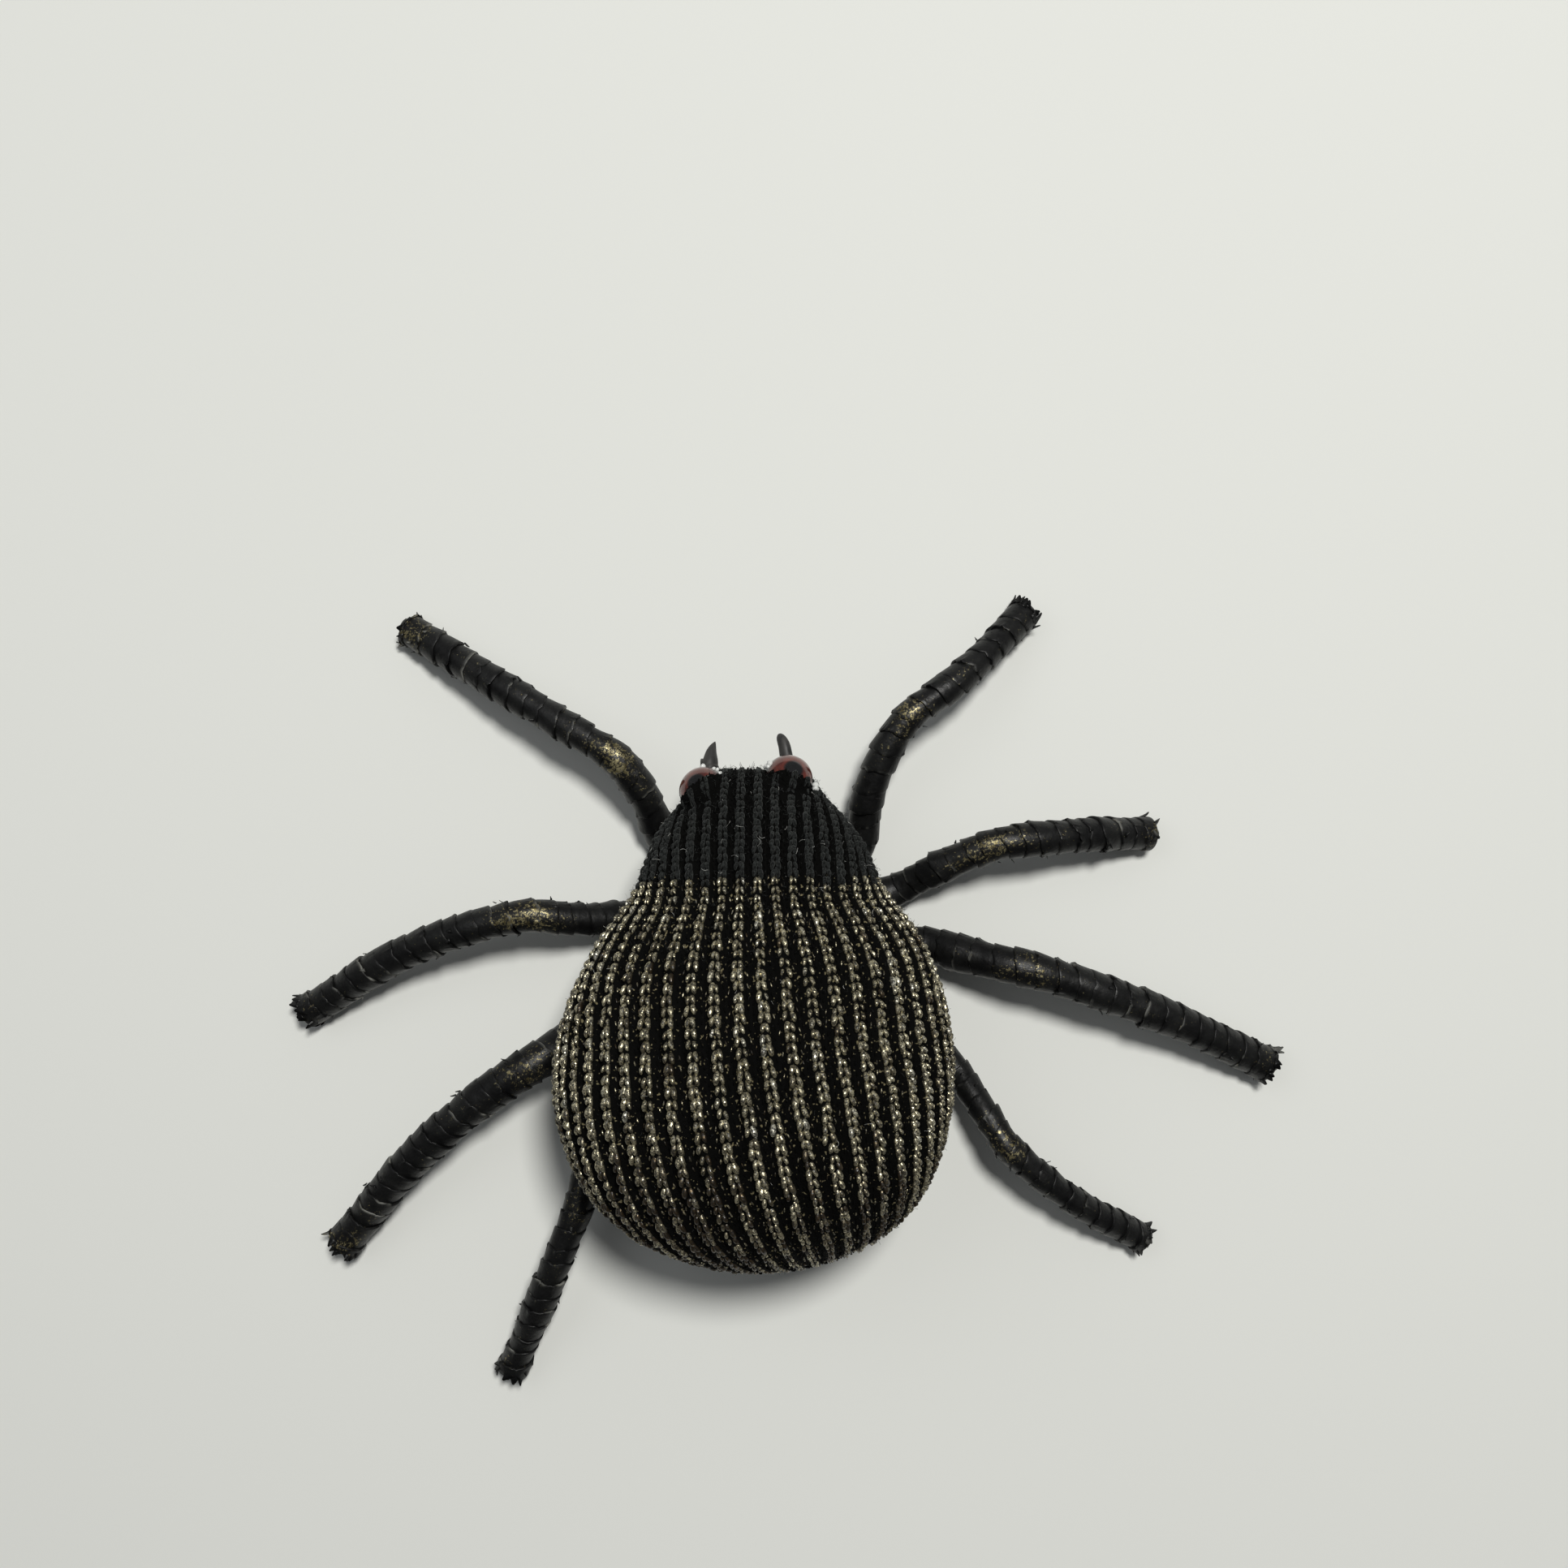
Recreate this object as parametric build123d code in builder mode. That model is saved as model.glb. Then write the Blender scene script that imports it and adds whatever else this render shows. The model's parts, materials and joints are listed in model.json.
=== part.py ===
"""A stuffed toy spider: a knitted, stuffed body on eight bendable wire legs.

The origin is on the table under the middle of the whole spider. +Z is up, +Y is
the way the head points, and +X is the spider's right. All lengths are in mm.

Each leg is a wire with a narrow strip wound round it. It is made in three lengths,
with a bend at the root, beside the body, and another at the knee. A bend is a ball
on the outer length turning in a cup in the inner one.
"""
from build123d import *
import math
import os

# ---- body: an egg-shaped knitted bag, lofted through upright ellipses
KNIT_THICKNESS = 1.4
# station along Y, middle along X, half width, height of the underside, height of the top
BODY_STATIONS = [
    (33.8, -4.7, 4.5, 16.0, 22.0),
    (31.0, -4.6, 9.0, 13.0, 27.5),
    (27.0, -4.4, 12.5, 11.6, 31.3),
    (22.4, -4.2, 15.5, 10.9, 34.4),
    (17.5, -3.9, 17.3, 10.3, 36.7),
    (11.5, -3.7, 21.7, 9.3, 39.7),
    (5.5, -4.0, 25.0, 7.7, 42.3),
    (-9.5, -4.8, 28.4, 2.2, 46.0),
    (-24.0, -4.6, 25.2, 3.6, 43.2),
    (-32.0, -4.3, 18.5, 9.3, 37.0),
    (-35.8, -4.1, 11.0, 15.0, 30.5),
    (-37.3, -4.0, 4.0, 20.0, 26.0),
]

# ---- the gathered end of the bag, low on the right of the tail
GATHER_CENTRE = (2.9, -33.5, 12.2)
GATHER_NORMAL = (0.20, -0.80, -0.56)
GATHER_RADIUS = 2.2
THREAD_RADIUS = 0.4

# ---- hub under the thorax, where the eight wires are glued
HUB = (-2.5, 11.2)
PATCH_RADIUS = 12.0
PATCH_THICKNESS = 0.8
GLUE_RADIUS = 11.0
GLUE_TOP = 14.0  # above the knit, which cuts it back
STUB_START = 12.0  # distance from the hub at which the strip starts
WIRE_IN_GLUE = 4.0  # length of each wire inside the puck
ROOT_HEIGHT = 3.2

# ---- legs
WIRE_RADIUS = 0.8
WIRE_CLEARANCE = 0.03
STUB_RADIUS = 2.2
STUB_DIP = 0.85  # how far a hind stub sinks on its way under the belly
UPPER_BOW = 0.8
LOWER_BOW = 1.8
CUP_CLEARANCE = 0.3
SHARPEST_BEND = 75.0  # degrees between the two lengths at a bend
WIRE_END = 2.5  # how far inside the tip the wire stops
TIP_LIFT = 0.94  # height of the tip's middle, in leg radii

# name: bearing at the hub in degrees, root, sideways bow of the stub, knee, sideways bow
# of the upper length, tip, sideways bow of the lower length, thickness of the leg
LEGS = {
    "left_front": (148, (-19.6, 23.7), 0.0, (-25.7, 35.6, 10.5), -1.0, (-56.8, 54.6), 0.0, 5.2),
    "left_second": (176, (-24.2, 11.2), 0.4, (-38.5, 12.1, 11.0), 0.5, (-72.1, -3.0), -2.5, 5.4),
    "left_third": (202, (-29.2, -5.1), 0.0, (-39.8, -11.3, 10.5), 0.0, (-66.4, -37.4), -1.9, 6.0),
    "left_hind": (228, (-28.9, -21.6), -1.9, (-31.3, -31.9, 9.5), 0.0, (-41.8, -57.3), 0.1, 5.0),
    "right_front": (34, (11.4, 22.4), 0.0, (18.2, 41.9, 11.0), 1.8, (35.2, 56.9), -0.9, 5.2),
    "right_second": (8, (17.4, 15.6), 0.0, (31.5, 22.7, 10.5), 0.5, (54.7, 23.9), 0.5, 5.4),
    "right_third": (-18, (21.7, 6.9), 0.0, (35.9, 4.0, 10.5), 0.0, (72.3, -11.0), 1.2, 5.8),
    "right_hind": (-46, (26.1, -12.3), 1.5, (32.8, -22.6, 9.5), 0.0, (53.7, -37.4), -1.1, 4.6),
}

# ---- face
EYE_RADIUS = 3.4
EYE_BACKING = 0.5
EYE_DOME = 2.7
EYE_BALL_RADIUS = (EYE_RADIUS ** 2 + EYE_DOME ** 2) / (2 * EYE_DOME)  # the dome is a cap of this ball
EYE_CLEARANCE = 0.1
EYE_ROOM = 7.0  # how far out from an eye's back the knit is cut away
PAD_RADIUS = 2.6
PAD_DEPTH = 1.0
FANG_BASE_RADIUS = 1.3
FANG_TIP_RADIUS = 0.25
FANG_TAPER = 1.8  # a higher power keeps the fang stout for longer
FANG_STATIONS = 5
# centre of the eye's back, the way the eye looks, then three points along the fang below it
FACES = {
    "left": ((-11.9, 30.5, 23.4), (-0.30, 0.42, 0.86),
             ((-11.0, 31.5, 19.6), (-11.3, 35.2, 18.9), (-10.2, 38.2, 18.0))),
    "right": ((0.1, 32.2, 22.8), (0.25, 0.48, 0.84),
              ((-0.2, 32.0, 19.4), (-0.3, 36.3, 18.7), (-1.6, 39.4, 17.8))),
}


def pear(inset):
    """The body's outer shape, or the shape a given depth inside it."""
    ends = (BODY_STATIONS[0], BODY_STATIONS[-1])
    with BuildPart() as shape:
        for station in BODY_STATIONS:
            y, middle, half_width, low, high = station
            if station in ends:
                y -= math.copysign(inset, y)
            centre = (middle, y, (low + high) / 2)
            with BuildSketch(Plane(origin=centre, x_dir=(1, 0, 0), z_dir=(0, -1, 0))):
                Ellipse(half_width - inset, (high - low) / 2 - inset)
        loft()
    return shape.part


def arc_between(start, end, sway, bow):
    """An arc from start to end, its middle moved sideways to the left by sway and up by bow."""
    if sway == 0 and bow == 0:
        return Edge.make_line(start, end)
    along = end - start
    left = Vector(-along.Y, along.X, 0).normalized()
    middle = (start + end) * 0.5 + left * sway + Vector(0, 0, bow)
    return Edge.make_three_point_arc(start, middle, end)


def bend_gap(inner_radius, outer_radius):
    """How far short of a bend the inner length ends, so that the outer one clears its rim."""
    angle = math.radians(SHARPEST_BEND)
    return (outer_radius + CUP_CLEARANCE - inner_radius * math.cos(angle)) / math.sin(angle)


def shortened(route, off_end):
    """The route without its last stretch."""
    return route.trim(0, 1 - off_end / route.length)


def across(route):
    """The plane square to a route at its start."""
    return Plane(origin=route @ 0, z_dir=route % 0)


def build_wrap(route, radius, hollow, ball, cup):
    """A length of wound strip: a tube along route, hollow along the wire's own route.

    ball adds a round end at the start, and cup is None or the centre and radius of a hollow.
    """
    with BuildPart() as wrap:
        with BuildLine():
            add(route)
        with BuildSketch(across(route)):
            Circle(radius)
        sweep()
        if ball:
            with Locations(across(route)):
                Sphere(radius)
        if cup:
            with Locations(Plane(origin=cup[0], z_dir=route % 1)):
                Sphere(cup[1], mode=Mode.SUBTRACT)
        with BuildLine():
            add(hollow)
        with BuildSketch(across(hollow)):
            Circle(WIRE_RADIUS + WIRE_CLEARANCE)
        sweep(mode=Mode.SUBTRACT)
    return wrap.part


def build_wire(routes):
    """A wire along one route or along several that follow on smoothly."""
    with BuildPart() as wire:
        with BuildLine() as path:
            for route in routes:
                add(route)
        with BuildSketch(across(routes[0])):
            Circle(WIRE_RADIUS)
        sweep(path=path.wires()[0])
    return wire.part


def save(part, label):
    part.label = label
    export_step(part, f"parts/{label}.step")


os.makedirs("parts", exist_ok=True)
body_outside = pear(0)
body_inside = pear(KNIT_THICKNESS)

# ---- eight legs
hub_wires = []
for name, (bearing, root, root_sway, knee, upper_sway, tip, lower_sway, girth) in LEGS.items():
    radius = girth / 2
    outward = Vector(math.cos(math.radians(bearing)), math.sin(math.radians(bearing)), 0)
    start = Vector(HUB[0], HUB[1], ROOT_HEIGHT) + outward * STUB_START
    root_point = Vector(root[0], root[1], ROOT_HEIGHT)
    knee_point = Vector(knee)
    tip_point = Vector(tip[0], tip[1], radius * TIP_LIFT)
    dip = STUB_DIP if name == "left_hind" else 0.0

    root_route = arc_between(start, root_point, root_sway, -dip)
    upper_route = arc_between(root_point, knee_point, upper_sway, UPPER_BOW)
    lower_route = arc_between(knee_point, tip_point, lower_sway, LOWER_BOW)
    buried = Edge.make_line(start - (root_route % 0) * WIRE_IN_GLUE, start)

    root_cup = (root_point, radius + CUP_CLEARANCE)
    knee_cup = (knee_point, radius + CUP_CLEARANCE)
    root_length = shortened(root_route, bend_gap(STUB_RADIUS, radius))
    upper_length = shortened(upper_route, bend_gap(radius, radius))
    wire_stop = radius + CUP_CLEARANCE + WIRE_CLEARANCE
    root_wire = build_wire([buried, shortened(root_route, wire_stop)])
    hub_wires.append(root_wire)

    save(root_wire, f"{name}_root_wire")
    save(build_wrap(root_length, STUB_RADIUS, root_length, False, root_cup), f"{name}_root_wrap")
    save(build_wire([shortened(upper_route, wire_stop)]), f"{name}_upper_wire")
    save(build_wrap(upper_length, radius, upper_length, True, knee_cup), f"{name}_upper_wrap")
    lower_wire_route = shortened(lower_route, WIRE_END)
    save(build_wire([lower_wire_route]), f"{name}_lower_wire")
    save(build_wrap(lower_route, radius, lower_wire_route, True, None), f"{name}_lower_wrap")

# ---- eyes with their backs and glue pads, and the fangs
eye_rooms = []
for side, (centre, looks, fang_points) in FACES.items():
    eye_plane = Plane(origin=centre, z_dir=looks)
    with BuildPart() as backing:
        with BuildSketch(eye_plane):
            Circle(EYE_RADIUS)
        extrude(amount=EYE_BACKING)
    save(backing.part, f"{side}_eye_backing")

    with BuildPart() as dome:
        with BuildSketch(eye_plane.offset(EYE_BACKING)):
            Circle(EYE_RADIUS)
        extrude(amount=EYE_DOME)
        with Locations(eye_plane.offset(EYE_BACKING + EYE_DOME - EYE_BALL_RADIUS)):
            Sphere(EYE_BALL_RADIUS, mode=Mode.INTERSECT)
    save(dome.part, f"{side}_eye_dome")

    with BuildPart() as room:
        with BuildSketch(eye_plane):
            Circle(EYE_RADIUS + EYE_CLEARANCE)
        extrude(amount=EYE_ROOM)
        with BuildSketch(eye_plane):
            Circle(PAD_RADIUS)
        extrude(amount=-PAD_DEPTH)
    eye_rooms.append(room.part)

    fang_route = Edge.make_three_point_arc(*[Vector(point) for point in fang_points])
    with BuildPart() as fang:
        for station in range(FANG_STATIONS):
            along = station / (FANG_STATIONS - 1)
            fang_radius = FANG_BASE_RADIUS + (FANG_TIP_RADIUS - FANG_BASE_RADIUS) * along ** FANG_TAPER
            with BuildSketch(Plane(origin=fang_route @ along, z_dir=fang_route % along)):
                Circle(fang_radius)
        loft()
        add(body_outside, mode=Mode.SUBTRACT)
    save(fang.part, f"{side}_fang")

with BuildPart() as eye_glue:
    for centre, looks, _ in FACES.values():
        with BuildSketch(Plane(origin=centre, z_dir=looks)):
            Circle(PAD_RADIUS)
    extrude(amount=-PAD_DEPTH)
save(eye_glue.part, "eye_glue")

# ---- the knitted cover and what fills it
with BuildPart() as knit_cover:
    add(body_outside)
    add(body_inside, mode=Mode.SUBTRACT)
    for room in eye_rooms:
        add(room, mode=Mode.SUBTRACT)
save(knit_cover.part, "knit_cover")

with BuildPart() as stuffing:
    add(body_inside)
    for room in eye_rooms:
        add(room, mode=Mode.SUBTRACT)
save(stuffing.part, "stuffing")

with BuildPart() as closing_thread:
    with Locations(Plane(origin=GATHER_CENTRE, z_dir=GATHER_NORMAL)):
        Torus(GATHER_RADIUS, THREAD_RADIUS)
    add(body_outside, mode=Mode.SUBTRACT)
save(closing_thread.part, "closing_thread")

# ---- the hub: a puck of glue round the wires, under a round patch
with BuildPart() as hub_glue:
    with BuildSketch(Plane.XY.offset(PATCH_THICKNESS)):
        with Locations(HUB):
            Circle(GLUE_RADIUS)
    extrude(amount=GLUE_TOP - PATCH_THICKNESS)
    add(body_outside, mode=Mode.SUBTRACT)
    for wire in hub_wires:
        add(wire, mode=Mode.SUBTRACT)
save(hub_glue.part, "hub_glue")

with BuildPart() as belly_patch:
    with BuildSketch():
        with Locations(HUB):
            Circle(PATCH_RADIUS)
    extrude(amount=PATCH_THICKNESS)
save(belly_patch.part, "belly_patch")
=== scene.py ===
"""The stuffed toy spider's looks: a rib-knit body shot with metallic yarn, and wound legs.

Lengths in this script are in millimetres until a mesh is written, which turns them into
metres. Every place comes from the frame: the body's outline is read off the CAD cover,
and each leg's middle line off the CAD wires.
"""
import json
import math

import bpy
import numpy as np
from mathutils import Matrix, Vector
from mathutils.bvhtree import BVHTree


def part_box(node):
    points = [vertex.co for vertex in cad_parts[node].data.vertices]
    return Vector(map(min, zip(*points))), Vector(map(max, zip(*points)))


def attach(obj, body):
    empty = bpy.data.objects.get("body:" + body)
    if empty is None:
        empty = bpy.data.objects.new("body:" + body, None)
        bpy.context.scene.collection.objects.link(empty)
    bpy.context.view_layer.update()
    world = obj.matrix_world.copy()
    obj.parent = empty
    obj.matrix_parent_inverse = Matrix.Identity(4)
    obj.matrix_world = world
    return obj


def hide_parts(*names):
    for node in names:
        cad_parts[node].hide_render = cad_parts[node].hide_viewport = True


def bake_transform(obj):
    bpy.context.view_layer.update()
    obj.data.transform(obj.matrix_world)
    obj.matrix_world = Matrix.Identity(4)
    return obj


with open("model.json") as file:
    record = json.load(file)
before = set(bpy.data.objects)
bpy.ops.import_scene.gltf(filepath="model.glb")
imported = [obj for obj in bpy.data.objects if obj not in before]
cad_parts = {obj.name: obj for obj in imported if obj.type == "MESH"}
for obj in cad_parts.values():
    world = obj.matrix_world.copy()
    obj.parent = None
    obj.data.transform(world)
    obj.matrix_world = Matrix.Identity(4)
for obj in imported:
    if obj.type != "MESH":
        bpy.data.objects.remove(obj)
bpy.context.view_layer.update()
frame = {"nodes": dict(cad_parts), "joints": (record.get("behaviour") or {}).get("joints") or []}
nodes = frame["nodes"]
joints = {joint["name"]: joint for joint in frame["joints"]}
MM = 0.001

# ---- camera, floor and light
CAMERA = Vector((-0.5, 31.6, 280.0)) * MM  # straight above a point just in front of the head
HALF_VIEW = 0.4347  # tangent of half the angle of view
FLOOR_SIZE = 3.0
# name, place, size across, power in watts, colour
LIGHTS = (("key", (0.16, 0.36, 0.94), 0.20, 8.6, (1.0, 0.99, 0.955)),
          ("fill", (-0.45, 0.30, 0.70), 0.60, 0.6, (0.95, 0.98, 1.0)))

# ---- knit
RIBS = 44  # round the abdomen
HEAD_RIB_GAP = 2.45  # the ribs of the head don't crowd closer than this
TAIL_RIB_GAP = 2.1  # nor do the ones that go down over the tail
SHOULDER_SPREAD = 0.07  # ribs are stretched this much wider over the shoulders
RIB_PHASE = 0.25  # of a gap, how far the middle rib is to the right of the middle
LOBE_OUT = 0.172  # of a gap: how far a strand's tail is from the rib's middle
LOBE_IN = 0.048  # and its head
LOBE_RADIUS = 0.116
HEAD_COURSE = 1.15
BACK_COURSE = 1.48
GOLD_FROM = 19.0  # the metallic yarn starts about this far along +Y
RIDGE_LOW = 1.15  # depth of the valley between two ribs
RIDGE_HIGH = 0.30  # depth of the black yarn at the top of a rib
GROUND_ROWS = 224
SECTIONS = 420
RING_POINTS = 241

# ---- the knit's edge lies over the hind part of each eye: towards x, y, and how far from its middle
EYE_COVER = {"left": ((0.57, -0.82), 0.1), "right": ((-0.28, -0.96), 0.7)}
LIP = 0.8  # how far the edge stands off the eye

# ---- fangs: half width at the base, half width of the tip, and how early it narrows
FANGS = {"left": (1.90, 0.20, 0.75), "right": (1.15, 0.55, 0.28)}
FANG_LENGTH = 0.91  # of the CAD fang's length

# ---- legs
STRIP_STEP = 2.75  # one turn of the strip
STRIP_THICKNESS = 0.22
TURN_POINTS = 100
LINE_STEP = 0.25
STRIP_SUNK = 1.6  # the strip starts this far inside the edge of the glue
# gold paint: how much on the knee, how far it spreads, how much on the tip
GILT = {
    "left_front": (0.80, 4.2, 0.85), "left_second": (0.66, 6.0, 0.55), "left_third": (0.58, 4.5, 0.85),
    "left_hind": (0.40, 4.5, 0.50), "right_front": (0.62, 4.2, 0.40), "right_second": (0.66, 6.0, 0.70),
    "right_third": (0.55, 5.0, 0.55), "right_hind": (0.70, 3.2, 0.10),
}


# ------------------------------------------------------------------ materials
class Shader:
    """A node material, with a short way to add a node: values, or sockets to link, by input name."""

    def __init__(self, name):
        self.material = bpy.data.materials.new(name)
        self.material.use_nodes = True
        self.tree = self.material.node_tree
        self.surface = self.tree.nodes["Principled BSDF"]
        self.coords = self.node("ShaderNodeTexCoord").outputs["Object"]

    def put(self, socket, value):
        if isinstance(value, bpy.types.NodeSocket):
            self.tree.links.new(value, socket)
        else:
            socket.default_value = value

    def node(self, kind, settings=None, **inputs):
        made = self.tree.nodes.new(kind)
        for key, value in (settings or {}).items():
            setattr(made, key, value)
        for key, value in inputs.items():
            self.put(made.inputs[key.replace("_", " ")], value)
        return made

    def noise(self, scale, detail=3.0, roughness=0.55, where=None):
        made = self.node("ShaderNodeTexNoise", Scale=scale, Detail=detail, Roughness=roughness,
                         Vector=where or self.coords)
        return made.outputs["Fac"]

    def ramp(self, value, low, high, start=0.0, end=1.0):
        made = self.node("ShaderNodeMapRange", Value=value)
        for key, number in (("From Min", low), ("From Max", high), ("To Min", start), ("To Max", end)):
            made.inputs[key].default_value = number
        return made.outputs["Result"]

    def math(self, operation, first, second):
        made = self.node("ShaderNodeMath", {"operation": operation})
        self.put(made.inputs[0], first)
        self.put(made.inputs[1], second)
        return made.outputs["Value"]

    def mix(self, share, first, second):
        made = self.node("ShaderNodeMix", {"data_type": "RGBA"})
        self.put(made.inputs["Factor"], share)
        self.put(made.inputs[6], first)
        self.put(made.inputs[7], second)
        return made.outputs[2]

    def attribute(self, name):
        return self.node("ShaderNodeAttribute", {"attribute_name": name}).outputs["Fac"]

    def stretched(self, x, y, z):
        return self.node("ShaderNodeMapping", Vector=self.coords, Scale=(x, y, z)).outputs["Vector"]

    def bump(self, height, strength, distance):
        made = self.node("ShaderNodeBump", Strength=strength, Distance=distance, Height=height)
        return made.outputs["Normal"]

    def finish(self, **inputs):
        for key, value in inputs.items():
            self.put(self.surface.inputs[key.replace("_", " ")], value)
        return self.material


def gold_yarn():
    """Champagne metallic yarn carried with a black one: flecks of foil among dark fibres."""
    s = Shader("metallic_yarn")
    fleck = s.ramp(s.noise(3300.0, 2.0, 0.7), 0.475, 0.565)
    patch = s.noise(160.0, 2.0)
    tint = s.attribute("tint")
    foil = s.mix(patch, (0.36, 0.31, 0.19, 1), (0.84, 0.78, 0.56, 1))
    # a high tint turns the foil dark brown: random tone from stitch to stitch, plus painted shade on the
    # stitches towards the tail
    foil = s.mix(s.ramp(tint, 0.62, 0.90), foil, (0.085, 0.062, 0.036, 1))
    foil = s.mix(s.ramp(tint, 0.34, 0.10), foil, (0.90, 0.87, 0.72, 1))
    colour = s.mix(s.ramp(fleck, 0.0, 1.0, 0.05, 1.0), (0.006, 0.005, 0.004, 1), foil)
    normal = s.bump(s.noise(2300.0, 2.0), 0.6, 0.0002)
    return s.finish(Base_Color=colour, Metallic=s.ramp(fleck, 0.0, 1.0, 0.1, 0.90),
                    Roughness=s.ramp(patch, 0.3, 0.7, 0.26, 0.38), Normal=normal)


def black_yarn(name, dark, light, sheen):
    """Fuzzy black yarn, its loose fibres catching some light."""
    s = Shader(name)
    fibre = s.ramp(s.noise(3000.0, 3.0, 0.75), 0.42, 0.68)
    colour = s.mix(fibre, dark, light)
    normal = s.bump(s.noise(2600.0, 3.0), 0.6, 0.0002)
    return s.finish(Base_Color=colour, Roughness=0.95, Sheen_Weight=sheen, Sheen_Roughness=0.5,
                    Sheen_Tint=(0.55, 0.58, 0.56, 1), Specular_IOR_Level=0.10, Normal=normal)


def speckled_ground():
    """The back of the rib: black, with specks of the metallic yarn showing through."""
    s = Shader("knit_ground")
    speck = s.ramp(s.noise(1900.0, 1.0, 0.5), 0.66, 0.72)
    share = s.math("MULTIPLY", speck, s.attribute("gold"))
    colour = s.mix(share, (0.0022, 0.0022, 0.0020, 1), (0.22, 0.19, 0.11, 1))
    normal = s.bump(s.noise(2000.0, 3.0, 0.7), 0.8, 0.0003)
    return s.finish(Base_Color=colour, Metallic=s.ramp(share, 0.0, 1.0, 0.0, 0.6), Roughness=0.85,
                    Specular_IOR_Level=0.05, Normal=normal)


def leatherette():
    """Black satin strip with a fine grain, pale where its raw edge shows, dabbed with gold paint."""
    s = Shader("black_leatherette")
    grain = s.noise(1100.0, 4.0, 0.65)
    crease = s.noise(260.0, 3.0, 0.6)
    black = s.mix(s.ramp(crease, 0.35, 0.7), (0.0020, 0.0020, 0.0022, 1), (0.0075, 0.0078, 0.0075, 1))
    edge = s.math("MULTIPLY", s.attribute("edge"), s.ramp(s.noise(260.0, 2.0), 0.57, 0.66))
    colour = s.mix(edge, black, (0.17, 0.17, 0.155, 1))
    bristle = s.ramp(s.noise(2100.0, 3.0, 0.75), 0.25, 0.75, 0.0, 0.7)
    brush = s.math("ADD", bristle, s.ramp(crease, 0.25, 0.75, 0.0, 0.3))
    missed = s.ramp(s.attribute("gilt"), 0.0, 1.0, 0.86, 0.47)
    paint = s.ramp(s.math("SUBTRACT", brush, missed), 0.0, 0.12)
    gold = s.mix(s.ramp(s.noise(900.0, 2.0), 0.35, 0.65), (0.11, 0.09, 0.040, 1), (0.35, 0.305, 0.17, 1))
    colour = s.mix(paint, colour, gold)
    height = s.math("ADD", s.ramp(grain, 0.0, 1.0, 0.0, 0.5), s.ramp(crease, 0.0, 1.0, 0.0, 0.5))
    return s.finish(Base_Color=colour, Metallic=s.ramp(paint, 0.0, 1.0, 0.0, 0.75),
                    Roughness=s.ramp(grain, 0.3, 0.7, 0.34, 0.50), Specular_IOR_Level=0.30,
                    Normal=s.bump(height, 0.6, 0.0003))


def eye_glass():
    """A red-brown domed eye with a black pupil behind a clear glossy coat."""
    s = Shader("doll_eye")
    out = s.attribute("out")  # 0 in the middle of the eye, 1 at its rim
    streak = s.noise(700.0, 3.0)
    iris = s.mix(s.ramp(streak, 0.35, 0.7), (0.070, 0.011, 0.007, 1), (0.135, 0.025, 0.015, 1))
    iris = s.mix(s.ramp(out, 0.80, 0.96), iris, (0.010, 0.004, 0.004, 1))
    ring = s.mix(s.ramp(out, 0.37, 0.46), (0.012, 0.004, 0.004, 1), iris)
    colour = s.mix(s.ramp(out, 0.33, 0.37), (0.0015, 0.0015, 0.002, 1), ring)
    return s.finish(Base_Color=colour, Roughness=s.ramp(streak, 0.3, 0.7, 0.16, 0.26),
                    Coat_Weight=0.8, Coat_Roughness=0.06, Coat_IOR=1.5)


def fang_horn():
    """Dull charcoal plastic with fine lengthways scratches."""
    s = Shader("fang_charcoal")
    streak = s.noise(1200.0, 3.0, where=s.stretched(1.0, 0.2, 1.0))
    colour = s.mix(s.ramp(streak, 0.3, 0.7), (0.012, 0.012, 0.012, 1), (0.045, 0.043, 0.040, 1))
    return s.finish(Base_Color=colour, Roughness=s.ramp(streak, 0.3, 0.7, 0.45, 0.65),
                    Normal=s.bump(streak, 0.3, 0.0001))


def set_glue():
    """Clear set glue, a little cloudy."""
    s = Shader("set_glue")
    cloud = s.noise(600.0, 2.0)
    colour = s.mix(cloud, (0.55, 0.56, 0.54, 1), (0.80, 0.81, 0.79, 1))
    return s.finish(Base_Color=colour, Roughness=s.ramp(cloud, 0.3, 0.7, 0.10, 0.25), Coat_Weight=0.6,
                    Coat_Roughness=0.05, Normal=s.bump(cloud, 0.2, 0.0002))


def clear_glue():
    """A thick lump of clear hot glue, with what is behind it showing through darkly."""
    s = Shader("clear_glue")
    cloud = s.noise(180.0, 3.0, 0.6)
    bubble = s.ramp(s.noise(900.0, 2.0), 0.62, 0.72)
    colour = s.mix(cloud, (0.07, 0.065, 0.052, 1), (0.19, 0.18, 0.15, 1))
    colour = s.mix(bubble, colour, (0.34, 0.33, 0.30, 1))
    return s.finish(Base_Color=colour, Roughness=s.ramp(cloud, 0.3, 0.7, 0.16, 0.30), Coat_Weight=0.5,
                    Coat_Roughness=0.08, Normal=s.bump(cloud, 0.5, 0.0008))


def bare_wire():
    """Soft aluminium craft wire, drawn lengthways."""
    s = Shader("craft_wire")
    scratch = s.noise(1500.0, 2.0)
    colour = s.mix(scratch, (0.42, 0.42, 0.43, 1), (0.62, 0.62, 0.63, 1))
    return s.finish(Base_Color=colour, Metallic=1.0, Roughness=s.ramp(scratch, 0.3, 0.7, 0.30, 0.45))


def white_fill():
    """Loose polyester fill."""
    s = Shader("white_fill")
    tuft = s.noise(500.0, 5.0, 0.7)
    colour = s.mix(tuft, (0.62, 0.62, 0.60, 1), (0.86, 0.86, 0.84, 1))
    return s.finish(Base_Color=colour, Roughness=0.95, Sheen_Weight=0.3, Normal=s.bump(tuft, 0.8, 0.001))


def pale_floor():
    """A plain pale table."""
    s = Shader("pale_floor")
    tone = s.noise(3.0, 2.0)
    colour = s.mix(tone, (0.735, 0.745, 0.715, 1), (0.765, 0.775, 0.745, 1))
    return s.finish(Base_Color=colour, Roughness=0.85)


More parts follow.
